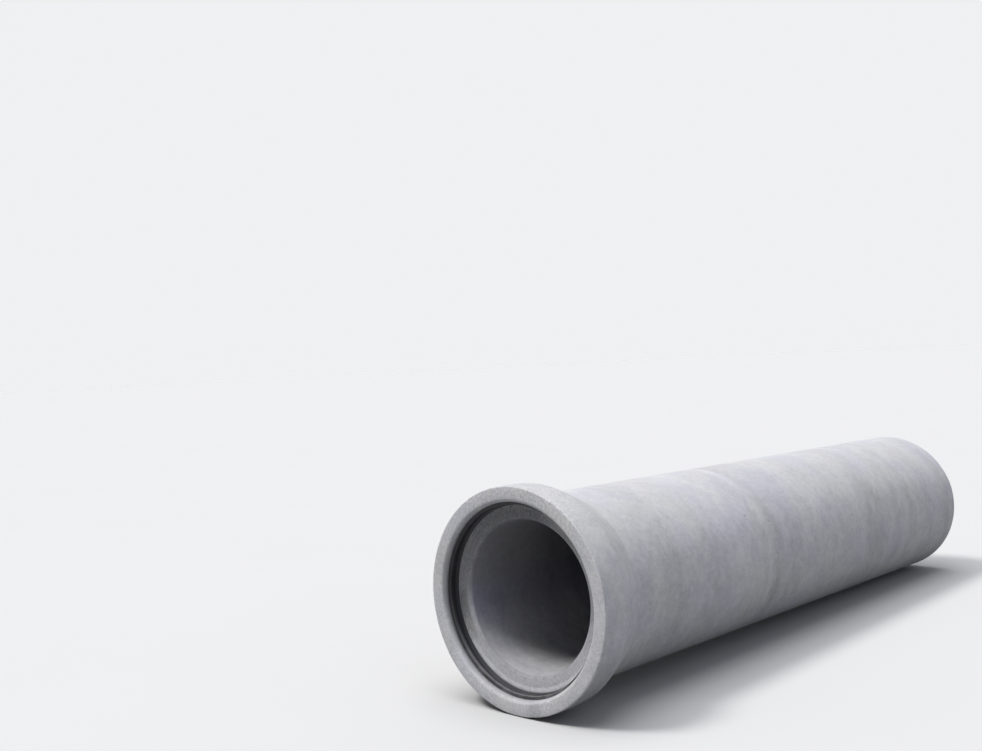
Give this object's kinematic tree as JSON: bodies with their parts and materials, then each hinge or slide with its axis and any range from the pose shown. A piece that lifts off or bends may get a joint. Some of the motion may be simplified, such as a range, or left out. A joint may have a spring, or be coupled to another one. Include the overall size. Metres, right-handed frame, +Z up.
{
  "type": "concrete sewer pipe",
  "caption": "Round concrete sewer pipe with a flared bell, a rubber seal inside the socket and a stepped spigot end.",
  "frame": {"origin": "on the floor, under the middle of the pipe's length", "axes": "+Z up, +X level along the pipe from the bell to the spigot, +Y across it"},
  "size_m": [2.5658, 0.6548, 0.6561],
  "materials": {
    "concrete": "matt cast concrete",
    "seal_rubber": "satin black rubber"
  },
  "bodies": {
    "root": {"pipe_body": "concrete", "seal_ring": "seal_rubber"}
  },
  "joints": []
}
